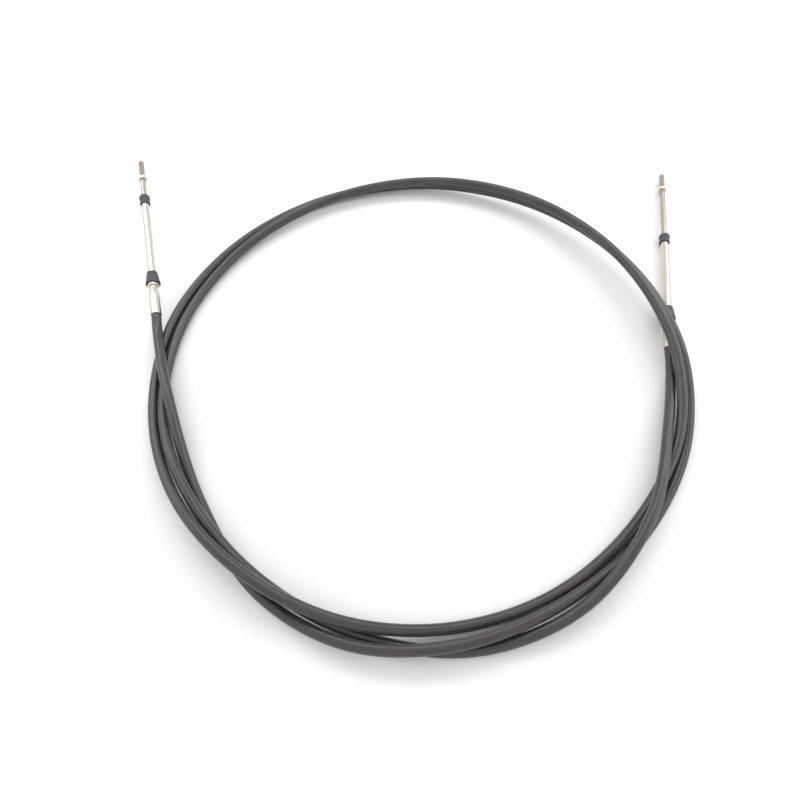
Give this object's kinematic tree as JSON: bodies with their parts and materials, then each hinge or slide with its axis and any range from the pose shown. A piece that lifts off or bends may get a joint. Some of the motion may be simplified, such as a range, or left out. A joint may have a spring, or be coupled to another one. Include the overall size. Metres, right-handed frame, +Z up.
{
  "type": "push-pull control cable",
  "caption": "Coiled black push-pull cable with a swivelling polished sleeve and a sliding threaded rod on each end.",
  "frame": {"origin": "on the floor, in the middle of the box around the cable as it lies", "axes": "+Z up from the floor; +Y the way both end rods point, away from the viewer; +X to the viewer's right"},
  "size_m": [0.5104, 0.4482, 0.0347],
  "materials": {
    "jacket": "smooth black extruded plastic, satin",
    "rubber": "moulded black rubber, satin",
    "polished_steel": "polished, faintly warm steel",
    "rod_steel": "ground stainless steel",
    "nut_steel": "plated steel"
  },
  "bodies": {
    "cable": {"conduit": "jacket", "left_hub": "polished_steel", "right_hub": "polished_steel"},
    "left_end": {"left_sleeve": "polished_steel", "left_boot": "rubber", "left_cap": "rubber"},
    "left_plunger": {"left_rod": "rod_steel", "left_jam_nut": "nut_steel"},
    "right_end": {"right_sleeve": "polished_steel", "right_boot": "rubber", "right_cap": "rubber"},
    "right_plunger": {"right_rod": "rod_steel", "right_jam_nut": "nut_steel"}
  },
  "joints": [
    {"name": "left_swivel", "type": "hinge", "parent": "cable", "child": "left_end", "pos_m": [-0.21931, 0.07175, 0.01767], "axis": [0, 0, 1], "range_deg": [-8, 8]},
    {"name": "left_slide", "type": "slide", "parent": "left_end", "child": "left_plunger", "axis": [-0.2373, 0.966, 0.1028], "range_m": [-0.005, 0.0458]},
    {"name": "right_swivel", "type": "hinge", "parent": "cable", "child": "right_end", "pos_m": [0.21956, 0.04329, 0.00668], "axis": [0, 0, 1], "range_deg": [-8, 8]},
    {"name": "right_slide", "type": "slide", "parent": "right_end", "child": "right_plunger", "axis": [0.1805, 0.9835, -0.0105], "range_m": [-0.0458, 0.005]}
  ],
  "couplings": [
    {"joint": "right_slide", "follows": "left_slide", "ratio": -1}
  ]
}
